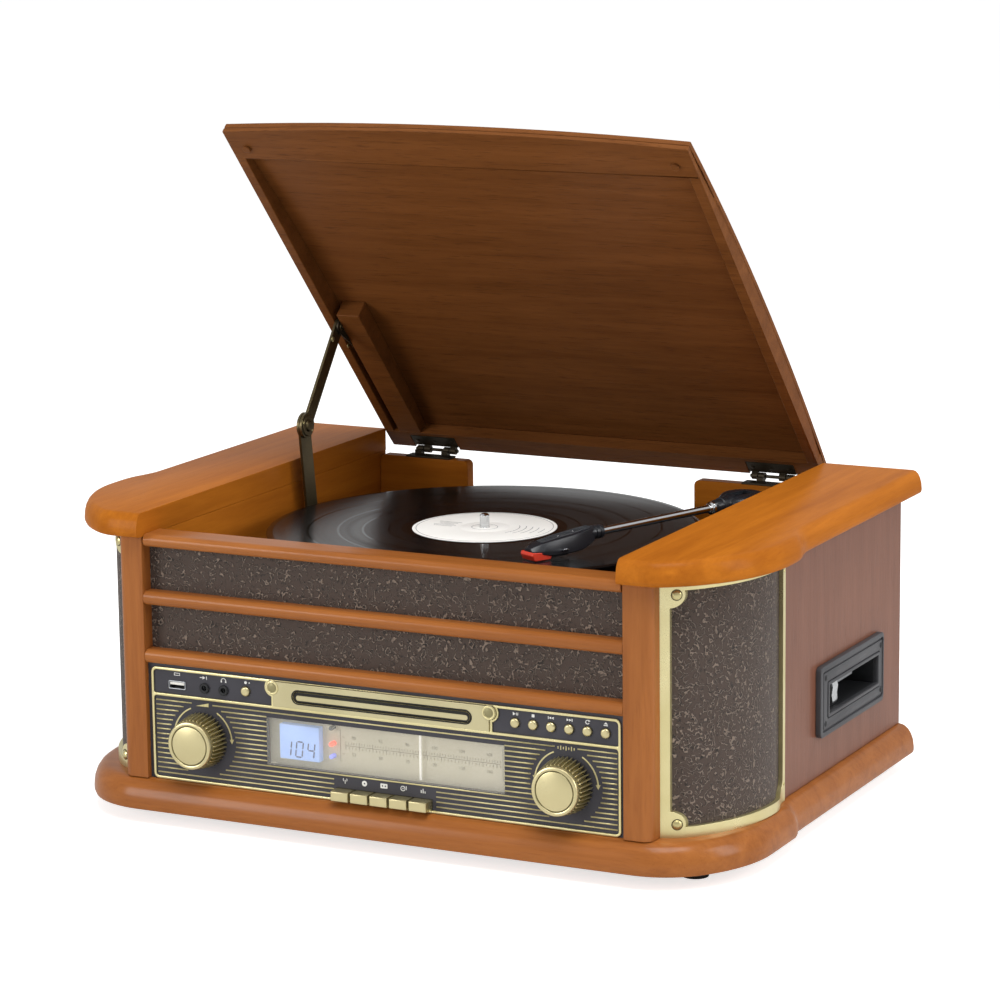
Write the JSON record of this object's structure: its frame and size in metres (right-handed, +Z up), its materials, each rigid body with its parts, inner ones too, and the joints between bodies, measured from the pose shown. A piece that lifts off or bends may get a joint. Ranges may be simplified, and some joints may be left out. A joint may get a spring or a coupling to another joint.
{
  "type": "stereo music centre",
  "caption": "Wooden music centre with rounded speaker corners, record deck under a hinged lid held by a folding stay, disc drawer, radio dial, knobs and a cassette slot in the side",
  "frame": {"origin": "On the surface that the feet stand on, under the middle of the whole object with its lid open", "axes": "+Z up, front faces -Y, +X to the right seen from the front"},
  "size_m": [0.5112, 0.3732, 0.4682],
  "materials": {
    "wood": "satin lacquer",
    "dark_wood": "satin lacquer, in shade",
    "inner_board": "raw board",
    "brass_trim": "satin, pale",
    "steel": "brushed",
    "chrome": "polished",
    "bronze": "antique bronze, dark",
    "panel_black": "satin",
    "deck_black": "fine texture",
    "vinyl": "pressed grooves",
    "mat_rubber": "matt",
    "belt_rubber": "matt",
    "foot_rubber": "matt",
    "cloth": "embossed",
    "window": "clear",
    "dial_card": "printed",
    "display": "backlit",
    "pointer_white": "gloss",
    "knob_brass": "satin",
    "arm_black": "satin",
    "bezel_grey": "satin",
    "plastic_grey": "plain",
    "circuit_green": "coated",
    "iron": "varnished",
    "back_fibre": "fibreboard"
  },
  "bodies": {
    "cabinet": {"base_plinth": "wood", "rubber_feet": "foot_rubber", "side_panels": "wood", "inner_walls": "wood", "front_pillars": "wood", "top_boards": "wood", "front_rails": "wood", "baffle_boards": "inner_board", "grille_cloths": "cloth", "rear_wall": "wood", "back_cover": "back_fibre", "speaker_frames": "brass_trim", "speaker_drivers": "plastic_grey", "trim_screws": "brass_trim", "control_panel": "panel_black", "panel_trim": "brass_trim", "cd_fascia": "brass_trim", "cd_mechanism": "plastic_grey", "dial_window": "window", "dial_scale": "dial_card", "display_unit": "display", "circuit_boards": "circuit_green", "front_sockets": "steel", "deck_plate": "deck_black", "turntable_motor": "steel", "tonearm_base": "arm_black", "cassette_bezel": "bezel_grey", "cassette_deck": "bezel_grey", "rear_sockets": "steel", "cabinet_hinge_set": "bronze", "drive_belt": "belt_rubber", "mains_transformer": "iron"},
    "lid": {"lid_panel": "dark_wood", "lid_frame": "dark_wood", "lid_hinge_set": "bronze"},
    "stay_lower": {"stay_lower_arm": "bronze"},
    "stay_upper": {"stay_upper_arm": "bronze"},
    "turntable": {"platter": "mat_rubber", "spindle": "chrome", "record": "vinyl"},
    "pulley": {"motor_pulley": "steel"},
    "arm_swing": {"tonearm_hub": "arm_black"},
    "arm": {"tonearm": "chrome", "headshell": "arm_black"},
    "volume": {"volume_knob": "knob_brass"},
    "tuning": {"tuning_knob": "knob_brass"},
    "pointer": {"dial_pointer": "pointer_white"},
    "tray": {"cd_tray": "brass_trim"},
    "record_press": {"record_button": "knob_brass"},
    "play_press": {"play_button": "knob_brass"},
    "stop_press": {"stop_button": "knob_brass"},
    "skip_back_press": {"skip_back_button": "knob_brass"},
    "skip_forward_press": {"skip_forward_button": "knob_brass"},
    "program_press": {"program_button": "knob_brass"},
    "tray_press": {"tray_button": "knob_brass"},
    "key_1_press": {"selector_key_1": "brass_trim"},
    "key_2_press": {"selector_key_2": "brass_trim"},
    "key_3_press": {"selector_key_3": "brass_trim"},
    "key_4_press": {"selector_key_4": "brass_trim"},
    "key_5_press": {"selector_key_5": "brass_trim"}
  },
  "joints": [
    {"name": "lid_hinge", "type": "hinge", "parent": "cabinet", "child": "lid", "pos_m": [0, 0.17647, 0.2], "axis": [-1, 0, 0], "range_deg": [-47.2, 0]},
    {"name": "stay_foot", "type": "hinge", "parent": "cabinet", "child": "stay_lower", "pos_m": [-0.166, 0.04257, 0.1573], "axis": [-1, 0, 0], "range_deg": [-73.8, 0.2]},
    {"name": "stay_head", "type": "hinge", "parent": "lid", "child": "stay_upper", "pos_m": [-0.1636, 0.08073, 0.30487], "axis": [-1, 0, 0], "range_deg": [-0.2, 77.6]},
    {"name": "platter_bearing", "type": "hinge", "parent": "cabinet", "child": "turntable", "pos_m": [-0.007, 0.00087, 0.166], "axis": [0, 0, -1], "continuous": true},
    {"name": "motor_shaft", "type": "hinge", "parent": "cabinet", "child": "pulley", "pos_m": [-0.10216, -0.0435, 0.16], "axis": [0, 0, -1], "continuous": true},
    {"name": "arm_swing_bearing", "type": "hinge", "parent": "cabinet", "child": "arm_swing", "pos_m": [0.1474, 0.09177, 0.1988], "axis": [0, 0, 1], "range_deg": [-18, 22]},
    {"name": "arm_lift_bearing", "type": "hinge", "parent": "arm_swing", "child": "arm", "pos_m": [0.1474, 0.09177, 0.1988], "axis": [-0.9243, 0.3816, 0], "range_deg": [0, 12]},
    {"name": "volume_shaft", "type": "hinge", "parent": "cabinet", "child": "volume", "pos_m": [-0.135, -0.16913, 0.0615], "axis": [0, 1, 0], "range_deg": [-150, 150]},
    {"name": "tuning_shaft", "type": "hinge", "parent": "cabinet", "child": "tuning", "pos_m": [0.135, -0.16913, 0.0615], "axis": [0, 1, 0], "range_deg": [-540, 540]},
    {"name": "pointer_slide", "type": "slide", "parent": "cabinet", "child": "pointer", "axis": [1, 0, 0], "range_m": [-0.0551, 0.0551]},
    {"name": "tray_slide", "type": "slide", "parent": "cabinet", "child": "tray", "axis": [0, -1, 0], "range_m": [0, 0.118]},
    {"name": "record_press_slide", "type": "slide", "parent": "cabinet", "child": "record_press", "axis": [0, 1, 0], "range_m": [0, 0.001], "stiffness_N_per_m": 500},
    {"name": "play_press_slide", "type": "slide", "parent": "cabinet", "child": "play_press", "axis": [0, 1, 0], "range_m": [0, 0.001], "stiffness_N_per_m": 500},
    {"name": "stop_press_slide", "type": "slide", "parent": "cabinet", "child": "stop_press", "axis": [0, 1, 0], "range_m": [0, 0.001], "stiffness_N_per_m": 500},
    {"name": "skip_back_press_slide", "type": "slide", "parent": "cabinet", "child": "skip_back_press", "axis": [0, 1, 0], "range_m": [0, 0.001], "stiffness_N_per_m": 500},
    {"name": "skip_forward_press_slide", "type": "slide", "parent": "cabinet", "child": "skip_forward_press", "axis": [0, 1, 0], "range_m": [0, 0.001], "stiffness_N_per_m": 500},
    {"name": "program_press_slide", "type": "slide", "parent": "cabinet", "child": "program_press", "axis": [0, 1, 0], "range_m": [0, 0.001], "stiffness_N_per_m": 500},
    {"name": "tray_press_slide", "type": "slide", "parent": "cabinet", "child": "tray_press", "axis": [0, 1, 0], "range_m": [0, 0.001], "stiffness_N_per_m": 500},
    {"name": "key_1_press_slide", "type": "slide", "parent": "cabinet", "child": "key_1_press", "axis": [0, 1, 0], "range_m": [0, 0.004], "stiffness_N_per_m": 300},
    {"name": "key_2_press_slide", "type": "slide", "parent": "cabinet", "child": "key_2_press", "axis": [0, 1, 0], "range_m": [0, 0.004], "stiffness_N_per_m": 300},
    {"name": "key_3_press_slide", "type": "slide", "parent": "cabinet", "child": "key_3_press", "axis": [0, 1, 0], "range_m": [0, 0.004], "stiffness_N_per_m": 300},
    {"name": "key_4_press_slide", "type": "slide", "parent": "cabinet", "child": "key_4_press", "axis": [0, 1, 0], "range_m": [0, 0.004], "stiffness_N_per_m": 300},
    {"name": "key_5_press_slide", "type": "slide", "parent": "cabinet", "child": "key_5_press", "axis": [0, 1, 0], "range_m": [0, 0.004], "stiffness_N_per_m": 300}
  ],
  "couplings": [
    {"joint": "stay_foot", "follows": "lid_hinge", "ratio": 1.5619},
    {"joint": "stay_head", "follows": "lid_hinge", "ratio": -1.6393},
    {"joint": "motor_shaft", "follows": "platter_bearing", "ratio": 15},
    {"joint": "pointer_slide", "follows": "tuning_shaft", "m_per_rad": 0.0058357}
  ]
}
